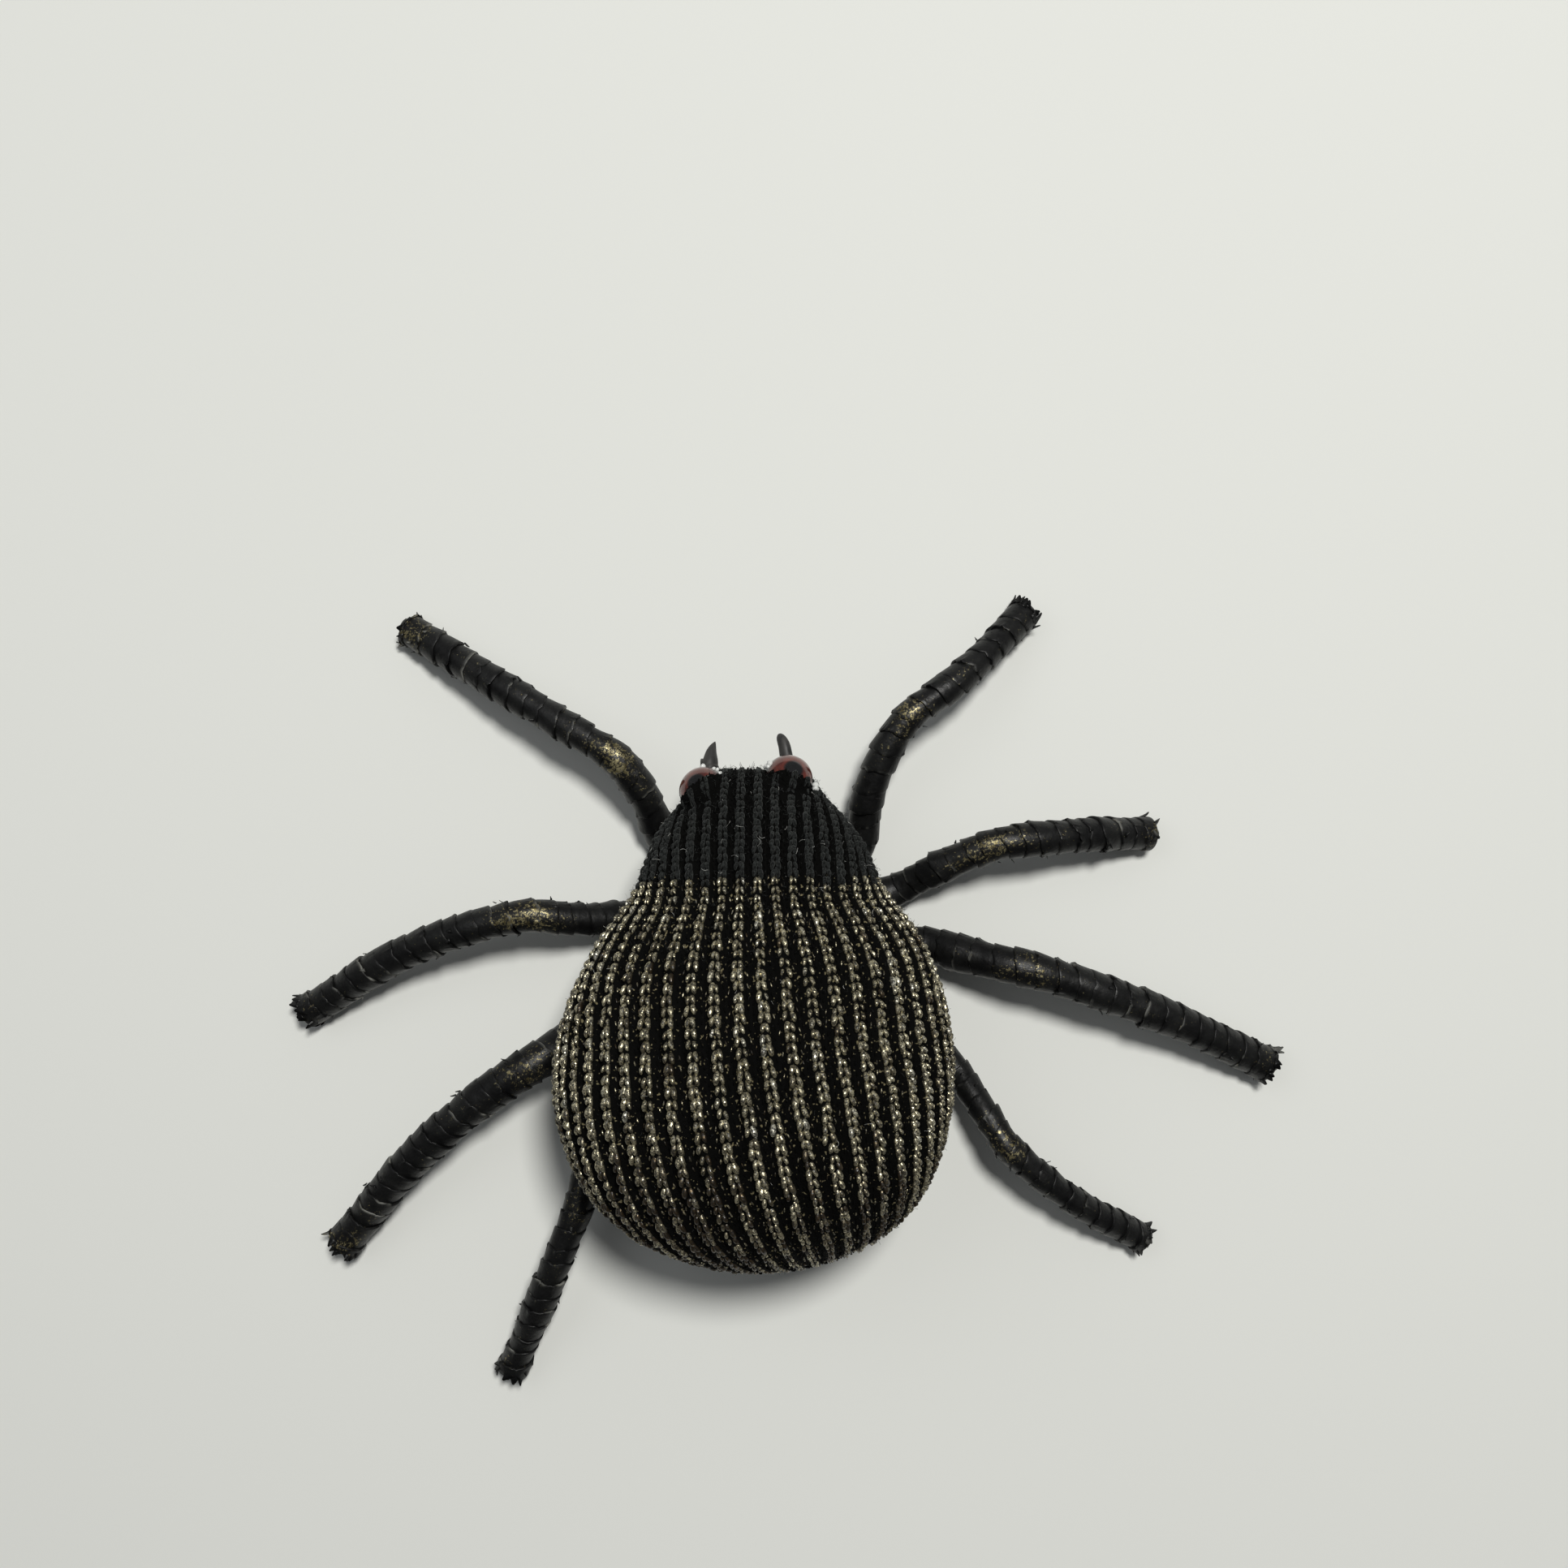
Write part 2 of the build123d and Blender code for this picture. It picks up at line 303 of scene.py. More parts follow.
# ------------------------------------------------------------------ meshes
def make_piece(name, shape, material, body=None):
    """A mesh piece from (points in mm, faces, named numbers with one for each point)."""
    points, faces, values = shape
    mesh = bpy.data.meshes.new(name)
    mesh.from_pydata((np.asarray(points, float) * MM).tolist(), [], [tuple(map(int, face)) for face in faces])
    mesh.polygons.foreach_set("use_smooth", [True] * len(mesh.polygons))
    for key, numbers in values.items():
        store = mesh.attributes.new(key, "FLOAT", "POINT")
        store.data.foreach_set("value", np.asarray(numbers, np.float32))
    mesh.materials.append(material)
    mesh.update()
    piece = bpy.data.objects.new(name, mesh)
    bpy.context.scene.collection.objects.link(piece)
    if body:
        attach(piece, body)
    return piece


def grid_faces(rows, columns, around=False):
    """Quads between neighbouring points of a grid of rows by columns, closed round if asked."""
    across = columns if around else columns - 1
    i, j = np.meshgrid(np.arange(rows - 1), np.arange(across), indexing="ij")
    k = (j + 1) % columns
    quads = np.stack([i * columns + j, i * columns + k, (i + 1) * columns + k, (i + 1) * columns + j], -1)
    return quads.reshape(-1, 4)


def turns(count):
    """Evenly spaced angles once round."""
    return np.linspace(0, 2 * math.pi, count, endpoint=False)


def tube_faces(rows, sides):
    """The faces of a tube of rings of points, closed at both ends."""
    faces = grid_faces(rows, sides, around=True).tolist()
    faces.append(list(range(sides))[::-1])
    faces.append([(rows - 1) * sides + k for k in range(sides)])
    return faces


def unit(v):
    return v / np.maximum(np.linalg.norm(v, axis=-1, keepdims=True), 1e-9)


def smoothed(values, passes):
    """A row of numbers with its small bumps evened out."""
    values = np.array(values, float)
    for _ in range(passes):
        values[1:-1] = (values[:-2] + 2 * values[1:-1] + values[2:]) / 4
    return values


def bean(rings, sides, power=0.5):
    """A closed bead as (share along, direction round, radius) for each point, and its faces."""
    ring, side = np.meshgrid(np.arange(rings), np.arange(sides), indexing="ij")
    t = (ring.ravel() + 0.6) / (rings + 0.2)
    along = np.concatenate([[0.0], t, [1.0]])
    angle = np.concatenate([[0.0], side.ravel() * 2 * math.pi / sides, [0.0]])
    radius = np.concatenate([[0.0], np.sin(math.pi * t) ** power, [0.0]])
    last = 1 + (rings - 1) * sides
    faces = [tuple(corner + 1 for corner in face) for face in grid_faces(rings, sides, around=True)]
    for k in range(sides):
        after = (k + 1) % sides
        faces.append((0, 1 + after, 1 + k))
        faces.append((last + k, last + after, last + sides))
    return along, angle, radius, faces


def repeat_faces(faces, count, size):
    """The faces of count copies of a bead of that many points."""
    made = []
    for copy in range(count):
        shift = copy * size
        made.extend([tuple(corner + shift for corner in face) for face in faces])
    return made


# ------------------------------------------------------------------ the body's shape
class Body:
    """The cover's outer shape, read off the CAD mesh as an upright ellipse at each station along Y."""

    def __init__(self, node):
        mesh = nodes[node].data
        tree = BVHTree.FromPolygons([v.co for v in mesh.vertices], [tuple(p.vertices) for p in mesh.polygons])
        low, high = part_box(node)
        aim = (low.x + high.x) / 2
        rows = []
        for y in np.linspace(low.y + 0.0004, high.y - 0.0004, 90):
            top = self.hit(tree, (aim, y, 0.1), (0, 0, -1)).z
            under = self.hit(tree, (aim, y, -0.1), (0, 0, 1)).z
            level = (top + under) / 2
            right = self.hit(tree, (0.1, y, level), (-1, 0, 0)).x
            left = self.hit(tree, (-0.1, y, level), (1, 0, 0)).x
            rows.append((y, (right - left) / 2, (top - under) / 2, level, (right + left) / 2))
        rows = np.array(rows) / MM
        first, last = rows[0].copy(), rows[-1].copy()
        first[:3] = (low.y / MM, 0.0, 0.0)
        last[:3] = (high.y / MM, 0.0, 0.0)
        rows = np.vstack([first, rows, last])
        self.y = rows[:, 0]
        self.wide = smoothed(rows[:, 1] ** 2, 3)
        self.tall = smoothed(rows[:, 2] ** 2, 3)
        self.level = smoothed(rows[:, 3], 10)
        self.middle = smoothed(rows[:, 4], 10)

    @staticmethod
    def hit(tree, start, way):
        place = tree.ray_cast(Vector(start), Vector(way))[0]
        if place is None:
            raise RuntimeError("the cover has no wall where its outline is read")
        return place

    def inside(self, points):
        """Below 1 inside the cover, 1 on its surface."""
        y = points[..., 1]
        wide = np.maximum(np.interp(y, self.y, self.wide, 0, 0), 1e-4)
        tall = np.maximum(np.interp(y, self.y, self.tall, 0, 0), 1e-4)
        side = points[..., 0] - np.interp(y, self.y, self.middle)
        return side ** 2 / wide + (points[..., 2] - np.interp(y, self.y, self.level)) ** 2 / tall

    def reach(self, starts, ways):
        """The points on the surface from each start, along each way."""
        low = np.zeros(starts.shape[:-1])
        high = np.full(starts.shape[:-1], 60.0)
        for _ in range(30):
            mid = (low + high) / 2
            within = self.inside(starts + ways * mid[..., None]) < 1
            low = np.where(within, mid, low)
            high = np.where(within, high, mid)
        return starts + ways * low[..., None]

    def normal(self, points):
        """The outward normal at each point of the surface."""
        step = 0.3
        slope = [self.inside(points + step * axis) - self.inside(points - step * axis) for axis in np.eye(3)]
        return unit(np.stack(slope, -1))


class Eye:
    """Where a CAD eye is, and how the knit's edge lies over it."""

    def __init__(self, side):
        backing = np.array([v.co for v in nodes[f"{side}_eye_backing"].data.vertices]) / MM
        dome = np.array([v.co for v in nodes[f"{side}_eye_dome"].data.vertices]) / MM
        centre = backing.mean(0)
        axes = np.linalg.svd(backing - centre, full_matrices=False)[2]
        self.looks = axes[2] * np.sign(axes[2][2])
        self.across = axes[0]
        self.over = np.cross(self.looks, self.across)
        self.centre = centre + self.looks * ((backing - centre) @ self.looks).min()
        flat = backing - self.centre
        self.radius = float(np.linalg.norm(flat - np.outer(flat @ self.looks, self.looks), axis=1).max())
        self.height = float(((dome - self.centre) @ self.looks).max())
        (x, y), self.from_middle = EYE_COVER[side]
        cover = np.array([x, y, 0.0])
        self.cover = unit(cover - self.looks * (cover @ self.looks))

    def level(self, distance):
        """The dome's height at a distance from its middle."""
        share = np.clip(distance / self.radius, 0, 1)
        return self.height * (0.12 + 0.88 * np.sqrt(1 - share ** 2.4))

    def fit(self, points):
        """Points of the knit moved to lie over the eye, and which of them its opening leaves out."""
        beside = points - self.centre
        up = beside @ self.looks
        flat = beside - up[..., None] * self.looks
        distance = np.linalg.norm(flat, axis=-1)
        behind = flat @ self.cover - self.from_middle
        near = np.clip((self.radius + 2.2 - distance) / 2.2, 0, 1) * np.clip(behind / 1.0 + 1.0, 0, 1)
        near = np.where(up > -4.0, near * near * (3 - 2 * near), 0.0)
        lift = near * np.maximum(self.level(distance) + LIP - up, 0)
        left_out = (behind < 0) & (distance < self.radius + 0.2) & (up > -4.0)
        return points + lift[..., None] * self.looks, left_out, near


class Knit:
    """Ribs and courses laid over the body: sections square to an axis that ends at the gathered thread."""

    def __init__(self, body, eyes):
        self.body = body
        self.eyes = eyes
        gather = np.mean([list(corner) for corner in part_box("closing_thread")], axis=0) / MM
        bends = [np.array([body.middle[-1], body.y[-1], body.level[-1]]),
                 np.array([body.middle[-1], 8.0, 22.5]),
                 np.array([body.middle[len(body.y) // 2], -12.0, 24.0]), gather]
        t = np.linspace(0, 1, SECTIONS)[:, None]
        weights = [(1 - t) ** 3, 3 * t * (1 - t) ** 2, 3 * t ** 2 * (1 - t), t ** 3]
        axis = sum(w * b for w, b in zip(weights, bends))
        along = unit(np.gradient(axis, axis=0))
        side = unit(np.cross(along, [0.0, 0.0, 1.0]))
        up = np.cross(side, along)
        turn = np.linspace(-math.pi, math.pi, RING_POINTS)
        ways = np.sin(turn)[None, :, None] * -side[:, None, :] + np.cos(turn)[None, :, None] * up[:, None, :]
        self.rings = body.reach(np.repeat(axis[:, None, :], RING_POINTS, 1), ways)
        steps = np.linalg.norm(np.diff(self.rings, axis=1), axis=-1)
        arc = np.concatenate([np.zeros((SECTIONS, 1)), np.cumsum(steps, 1)], 1)
        top = RING_POINTS // 2
        self.arc = arc - arc[:, top:top + 1]  # 0 along the top
        self.half = np.minimum(-self.arc[:, 0], self.arc[:, -1])
        self.top_y = self.rings[:, top, 1]
        shoulder = 1 + SHOULDER_SPREAD * np.clip((self.top_y + 4) / 10, 0, 1)
        head = HEAD_RIB_GAP * np.clip((self.top_y - 6.0) / 6.0, 0, 1)
        tail = TAIL_RIB_GAP * np.clip((-27.0 - self.top_y) / 7.0, 0, 1)
        self.gap = smoothed(np.maximum(self.half * 2 / RIBS * shoulder, np.maximum(head, tail)), 30)
        line = self.rings[:, top]
        self.length = np.concatenate([[0], np.cumsum(np.linalg.norm(np.diff(line, axis=0), axis=1))])

    def courses(self):
        """The sections that courses lie on, as numbers that may fall between two sections."""
        places = []
        here = 0.9
        while here < self.length[-1] - 1.2:
            places.append(here)
            y = np.interp(here, self.length, self.top_y)
            ease = min(1.0, max(0.0, (GOLD_FROM + 2 - y) / 14))
            late = min(1.0, (self.length[-1] - here) / 18)
            here += (HEAD_COURSE + (BACK_COURSE - HEAD_COURSE) * ease) * (0.55 + 0.45 * late)
        return np.interp(places, self.length, np.arange(SECTIONS))

    def fitted(self, points):
        """Points moved to lie over the eyes, which of them are left out, and how near an eye they are."""
        out = np.zeros(points.shape[:-1], bool)
        nearest = np.zeros(points.shape[:-1])
        for eye in self.eyes:
            points, left_out, near = eye.fit(points)
            out |= left_out
            nearest = np.maximum(nearest, near)
        return points, out, nearest

    def place(self, section, offset):
        """Points on the surface at each section, at each distance from the top line along the ring."""
        section = np.clip(section, 0, SECTIONS - 1.001)
        low = np.floor(section).astype(int)
        share = (section - low)[:, None]
        ends = []
        for section in (low, low + 1):
            rows = zip(offset, self.arc[section], self.rings[section])
            ends.append(np.array([[np.interp(o, a, r[:, axis]) for axis in range(3)] for o, a, r in rows]))
        return ends[0] * (1 - share) + ends[1] * share

    def rib(self, number, section):
        """Points along one rib, which of them to keep, and the gap between ribs there."""
        gap = np.interp(section, np.arange(SECTIONS), self.gap)
        half = np.interp(section, np.arange(SECTIONS), self.half)
        offset = (number + RIB_PHASE) * gap
        points, left_out, _ = self.fitted(self.place(section, np.clip(offset, -half, half)))
        return points, (np.abs(offset) < half - 0.35 * gap) & ~left_out, gap

    def run(self, number, section, half_step):
        """A rib's kept points with their way towards the head, across, outward, length and gap."""
        here, kept, gap = self.rib(number, section)
        towards = self.rib(number, section - half_step)[0] - self.rib(number, section + half_step)[0]
        size = np.linalg.norm(towards, axis=1)
        kept = kept & (size > 0.15) & (size < 4)
        here, towards, size, gap = here[kept], unit(towards[kept]), size[kept], gap[kept]
        normal = self.body.normal(here)
        return here, towards, unit(np.cross(towards, normal)), normal, size, gap


def flatness(normal):
    """1 where the body runs level along Y, less where it turns in at its ends and the knit is thinner."""
    return np.clip(np.linalg.norm(normal[..., [0, 2]], axis=-1) ** 1.3, 0.3, 1)


def gold_start(number):
    """Where the metallic yarn starts on a rib: a course or so earlier or later from rib to rib."""
    uneven = 0.30 * math.sin(2.3 * number) + 0.35 * math.sin(0.9 * number + 1.0)
    return GOLD_FROM + uneven - 0.018 * (number - 1) ** 2


def stitches(knit, numbers, sections, steps, gold, rng, length, plump):
    """Two plump strands for each stitch of these ribs, leaning together towards the head."""
    along, angle, radius, faces = bean(5, 8)
    points, tints, count = [], [], 0
    for number in numbers:
        run = knit.run(number, sections, steps)
        chosen = (run[0][:, 1] < gold_start(number)) == gold
        here, towards, across, normal, size, gap = (value[chosen] for value in run)
        total = len(here)
        rib_tint = rng.normal(0.48, 0.07)
        for hand in (-1, 1):
            fat = rng.normal(1, 0.13, (total, 1))
            shift = rng.normal(0, 0.07, (total, 3)) * gap[:, None] * 0.4
            wide = gap[:, None] * plump * (0.52 + 0.48 * np.clip(normal[:, 2:] * 1.12, 0, 1))
            lean = hand * wide * (LOBE_IN + (LOBE_OUT - LOBE_IN) * (1 - along) ** 0.8)
            x = lean + np.cos(angle) * radius * wide * LOBE_RADIUS * fat + shift[:, :1]
            y = (along - 0.5) * size[:, None] * length * fat + shift[:, 1:2]
            rise = -1.5 * (along - 0.36) ** 2 - 0.18
            z = rise + np.sin(angle) * radius * 0.36 * fat + shift[:, 2:] * 0.6
            points.append(laid(here, towards, across, normal, x, y, z).reshape(-1, 3))
            tail = np.clip((-12 - here[:, 1]) / 14, 0, 1)  # painted shade: the stitches darken to brown towards the tail
            tint = np.clip(rib_tint + 0.34 * tail + rng.normal(0, 0.15, total), 0, 1)
            tints.append(np.repeat(tint, len(along)))
            count += total
    return np.vstack(points), repeat_faces(faces, count, len(along)), {"tint": np.concatenate(tints)}


def laid(here, towards, across, normal, x, y, z):
    """Points at x across, y along and z off each place of a rib."""
    return (here[:, None] + across[:, None] * x[..., None] + towards[:, None] * y[..., None]
            + normal[:, None] * z[..., None])


def purl_beads(knit, numbers, sections, rng):
    """The thin bars at the bottom of each valley between two ribs: the black ones, then the metallic ones."""
    along, angle, radius, faces = bean(3, 6)
    points, metallic = [], []
    for number in numbers:
        here, towards, across, normal, _, gap = knit.run(number, sections, 0.6)
        total = len(here)
        hand = np.where(np.arange(total) % 2, 1, -1)[:, None]
        shift = rng.normal(0, 0.06, (total, 3))
        x = (hand * gap[:, None] * 0.10 + np.cos(angle) * radius * 0.12 + (along - 0.5) * hand * 0.2
             + shift[:, :1])
        y = (along - 0.5) * 0.80 + shift[:, 1:2]
        z = np.sin(angle) * radius * 0.17 - RIDGE_LOW * flatness(normal)[:, None] + 0.20 + shift[:, 2:]
        points.append(laid(here, towards, across, normal, x, y, z))
        metallic.append((here[:, 1] < gold_start(number)) & (rng.random(total) < 0.30))
    points = np.concatenate(points)
    metallic = np.concatenate(metallic)
    shapes = []
    for chosen in (~metallic, metallic):
        count = int(chosen.sum())
        tint = np.repeat(rng.uniform(0.6, 0.95, count), len(along))
        shapes.append((points[chosen].reshape(-1, 3), repeat_faces(faces, count, len(along)),
                       {"gold": np.zeros(len(tint)), "tint": tint}))
    return shapes


def ridged_ground(knit):
    """The black yarn under the stitches: a rounded ridge for each rib and a valley between."""
    columns = RIBS * 10
    rows = np.linspace(0, SECTIONS - 1.01, GROUND_ROWS)
    share = np.linspace(-1, 1, columns, endpoint=False)
    rings = []
    phases = []
    for row in rows:
        half = np.interp(row, np.arange(SECTIONS), knit.half)
        offset = share * half
        rings.append(knit.place(np.full(columns, row), offset))
        phases.append(offset / np.interp(row, np.arange(SECTIONS), knit.gap) - RIB_PHASE)
    points = np.array(rings)
    phase = np.array(phases)
    normal = knit.body.normal(points)
    points, left_out, near_eye = knit.fitted(points)
    ridge = (0.5 + 0.5 * np.cos(2 * math.pi * phase)) ** 0.8
    depth = (RIDGE_LOW + (RIDGE_HIGH - RIDGE_LOW) * ridge) * flatness(normal) * (1 - 0.7 * near_eye)
    points = points - normal * depth[..., None]
    faces = grid_faces(GROUND_ROWS, columns, around=True)
    faces = faces[~left_out.ravel()[faces].any(1)].tolist()
    faces.append(list(range(columns))[::-1])
    faces.append([(GROUND_ROWS - 1) * columns + k for k in range(columns)])
    return points.reshape(-1, 3), faces, {"gold": (points[..., 1] < GOLD_FROM).ravel()}


def fuzz(knit, count, sections, spread, lengths, rng):
    """Short loose fibres standing off the knit."""
    parts = []
    for _ in range(count):
        section = rng.uniform(*sections)
        offset = rng.uniform(-spread, spread) * np.interp(section, np.arange(SECTIONS), knit.half)
        here, left_out, _ = knit.fitted(knit.place(np.array([section]), np.array([offset])))
        if left_out[0]:
            continue
        normal = knit.body.normal(here)[0]
        way = unit(rng.normal(0, 1, 3) + normal * 0.4)
        bow = np.cross(normal, way) * rng.normal(0, 0.3)
        length = rng.uniform(*lengths)
        t = np.linspace(0, 1, 4)[:, None]
        line = here + normal * 0.05 + way * length * t + bow * 4 * t * (1 - t) * length
        parts.append(thread_tube(line, 0.022, 3))
    return joined(*parts)


def make_body(body_name, eyes):
    """The knitted bag: a dark ground, thin bars in the valleys, and stitches on the ribs."""
    rng = np.random.default_rng(7)
    knit = Knit(Body("knit_cover"), eyes)
    ground = speckled_ground()
    gold = gold_yarn()
    black = black_yarn("head_yarn", (0.0035, 0.0037, 0.0037, 1), (0.030, 0.033, 0.032, 1), 0.16)

    shell = make_piece("knit_ground", ridged_ground(knit), ground, body_name)
    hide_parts("knit_cover")

    courses = knit.courses()
    steps = np.gradient(courses) / 2
    fine = np.interp(np.arange(0, len(courses) - 0.5, 0.5), np.arange(len(courses)), courses)
    ribs = range(-RIBS // 2, RIBS // 2 + 1)
    valleys = [number + 0.5 for number in ribs]
    bars = purl_beads(knit, valleys, fine, rng)
    pieces = [make_piece("purl_valleys", bars[0], ground, body_name),
              make_piece("purl_glints", bars[1], gold, body_name)]
    groups = {"left": range(-RIBS // 2, -7), "middle": range(-7, 8), "right": range(8, RIBS // 2 + 1)}
    for name, numbers in groups.items():
        shape = stitches(knit, numbers, courses, steps, True, rng, 1.24, 1.0)
        pieces.append(make_piece(f"gold_ribs_{name}", shape, gold, body_name))
    shape = stitches(knit, ribs, courses, steps, False, rng, 1.50, 1.12)
    pieces.append(make_piece("black_ribs", shape, black, body_name))
    shape = joined(fuzz(knit, 2900, (3, 150), 0.85, (0.25, 0.8), rng),
                   fuzz(knit, 420, (0, 12), 0.95, (0.4, 1.2), rng),
                   fuzz(knit, 700, (150, SECTIONS - 20), 0.8, (0.25, 0.7), rng))
    pieces.append(make_piece("loose_fibres", shape, black, body_name))
    lint = black_yarn("pale_lint", (0.35, 0.35, 0.33, 1), (0.72, 0.72, 0.68, 1), 0.1)
    make_piece("lint", joined(fuzz(knit, 70, (2, 110), 0.6, (0.3, 1.3), rng),
                              fuzz(knit, 30, (110, 300), 0.6, (0.4, 1.5), rng)), lint, body_name)


# ------------------------------------------------------------------ legs
def wire_points(node, start, count):
    """Points along the middle of a CAD wire, in order from the end nearer to start."""
    co = np.array([v.co for v in nodes[node].data.vertices]) / MM
    centre = co.mean(0)
    chord = np.linalg.svd(co - centre, full_matrices=False)[2][0]
    run = (co - centre) @ chord
    if (start - centre) @ chord > 0:
        run = -run
    edges = np.linspace(run.min(), run.max() + 1e-6, count + 1)
    out = []
    for low, high in zip(edges[:-1], edges[1:]):
        chosen = (run >= low) & (run < high)
        if chosen.any():
            out.append((co[chosen].min(0) + co[chosen].max(0)) / 2)
    return out


def curve_through(points, spacing, ease=1.6):
    """A smooth line through points, as evenly spaced points."""
    points = np.array(points, float)
    padded = np.vstack([2 * points[0] - points[1], points, 2 * points[-1] - points[-2]])
    dense = []
    for k in range(1, len(padded) - 2):
        a, b, c, d = padded[k - 1:k + 3]
        for t in np.linspace(0, 1, 24, endpoint=False):
            dense.append(0.5 * (2 * b + (c - a) * t + (2 * a - 5 * b + 4 * c - d) * t ** 2
                                + (3 * b - a - 3 * c + d) * t ** 3))
    dense = np.array([*dense, points[-1]])
    length = np.concatenate([[0], np.cumsum(np.linalg.norm(np.diff(dense, axis=0), axis=1))])
    places = np.arange(0, length[-1], spacing)
    even = np.stack([np.interp(places, length, dense[:, k]) for k in range(3)], 1)
    for _ in range(int((ease / spacing) ** 2 * 2)):
        even[1:-1] = (even[:-2] + 2 * even[1:-1] + even[2:]) / 4
    return even


def carried_frames(line):
    """Two directions square to a line at each of its points, carried along without twisting."""
    along = unit(np.gradient(line, axis=0))
    out = [unit(np.cross(along[0], [0.3, 0.2, 1.0]))]
    for k in range(1, len(line)):
        moved = out[-1] - along[k] * (out[-1] @ along[k])
        out.append(moved / np.linalg.norm(moved))
    normal = np.array(out)
    return normal, np.cross(along, normal)


def thread_tube(line, radius, sides=5):
    """A thin closed tube along a line."""
    normal, binormal = carried_frames(line)
    angle = turns(sides)
    points = (line[:, None] + radius * (np.cos(angle)[None, :, None] * normal[:, None]
                                        + np.sin(angle)[None, :, None] * binormal[:, None]))
    return points.reshape(-1, 3), tube_faces(len(line), sides), {}


def joined(*parts):
    """Several (points, faces, values) as one."""
    points, faces, values, shift = [], [], {}, 0
    for some_points, some_faces, some_values in parts:
        points.append(some_points)
        faces.extend([tuple(int(corner) + shift for corner in face) for face in some_faces])
        for key, numbers in some_values.items():
            values.setdefault(key, []).append(numbers)
        shift += len(some_points)
    return np.vstack(points), faces, {key: np.concatenate(v) for key, v in values.items()}


class Leg:
    """One leg's middle line, thickness, and the places of its bends."""

    def __init__(self, name, seed):
        self.name = name
        self.rng = np.random.default_rng(seed)
        self.table = self.rng.uniform(-1, 1, 4000)
        self.root = np.array(joints[f"{name}_root_bend"]["pos_m"]) / MM
        self.knee = np.array(joints[f"{name}_knee_bend"]["pos_m"]) / MM
        hub = np.mean([list(corner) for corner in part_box("hub_glue")], axis=0) / MM
        hub[2] = self.root[2]
        stub = wire_points(f"{name}_root_wire", hub, 6)
        upper = wire_points(f"{name}_upper_wire", self.root, 5)[1:]
        lower = wire_points(f"{name}_lower_wire", self.knee, 7)[1:]
        self.radius = self.tube_radius(f"{name}_lower_wrap")
        low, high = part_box(f"{name}_lower_wrap")
        corners = np.array([list(low), list(high)]) / MM - self.knee
        reach = np.linalg.norm(np.abs(corners[:, :2]).max(0))
        tip_way = unit(np.array(lower[-1]) - np.array(lower[-3]))
        left = reach - np.linalg.norm((np.array(lower[-1]) - self.knee)[:2]) - 0.6
        tip = np.array(lower[-1]) + tip_way * max(left, 1.0)
        tip[2] = max(tip[2], self.radius * 0.9)
        self.line = curve_through([*stub, self.root, *upper, self.knee, *lower, tip], LINE_STEP)
        self.normal, self.binormal = carried_frames(self.line)
        self.length = LINE_STEP * (len(self.line) - 1)
        glue_low, glue_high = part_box("hub_glue")
        from_hub = np.linalg.norm((self.line - hub)[:, :2], axis=1)
        edge = (glue_high.x - glue_low.x) / 2 / MM
        self.start_at = LINE_STEP * int(np.argmax(from_hub > edge - STRIP_SUNK))
        self.root_at = self.nearest(self.root)
        self.knee_at = self.nearest(self.knee)

    def nearest(self, point):
        return LINE_STEP * int(np.argmin(np.linalg.norm(self.line - point, axis=1)))

    def tube_radius(self, node):
        """The outer radius of a CAD tube, from the ball at its start."""
        co = np.array([v.co for v in nodes[node].data.vertices]) / MM - self.knee
        behind = co @ co.mean(0) < -0.4 * np.linalg.norm(co.mean(0))
        return float(np.median(np.linalg.norm(co[behind], axis=1)))

    def rough(self, place, step, lane=0):
        """A smooth random line from -1 to 1 with a knot at every step."""
        return np.interp((place / step + lane * 517) % 3999, np.arange(4000), self.table)

    def at(self, place, angle, radius):
        """Points at a distance along the leg, an angle round it and a radius from its middle."""
        index = np.clip(place / LINE_STEP, 0, len(self.line) - 1.001)
        low = index.astype(int)
        share = (index - low)[..., None]
        line = self.line[low] * (1 - share) + self.line[low + 1] * share
        normal = unit(self.normal[low] * (1 - share) + self.normal[low + 1] * share)
        binormal = unit(self.binormal[low] * (1 - share) + self.binormal[low + 1] * share)
        way = normal * np.cos(angle)[..., None] + binormal * np.sin(angle)[..., None]
        return line + way * radius[..., None]

    def gilt(self, place, up):
        """How thickly gold paint was brushed on: round the knee and on the tip, mostly from above."""
        knee, spread, tip = GILT[self.name]
        on_knee = knee * np.exp(-((place - self.knee_at) / spread) ** 2)
        on_tip = tip * np.clip((place - self.length + 7.0) / 4.5, 0, 1)
        stray = 0.30 * np.clip((place - self.root_at) / 8, 0, 1)
        return np.clip(np.maximum(on_knee + stray, on_tip) * (0.25 + 0.75 * up), 0, 1)


# across the strip, as shares of a turn, and how high each line of it lies, in thicknesses
STRIP_ACROSS = (0.0, 0.0, 0.03, 0.16, 0.38, 0.62, 0.84, 1.0, 1.35)
STRIP_HEIGHT = (-0.5, 0.80, 1.0, 0.90, 0.66, 0.42, 0.20, -0.10, -0.5)
STRIP_EDGE = (1.0, 1.0, 0.45, 0.0, 0.0, 0.0, 0.0, 0.0, 0.0)
LIFTED = (0.3, 1.0, 0.9, 0.35, 0.1, 0.0, 0.0, 0.0, 0.0)


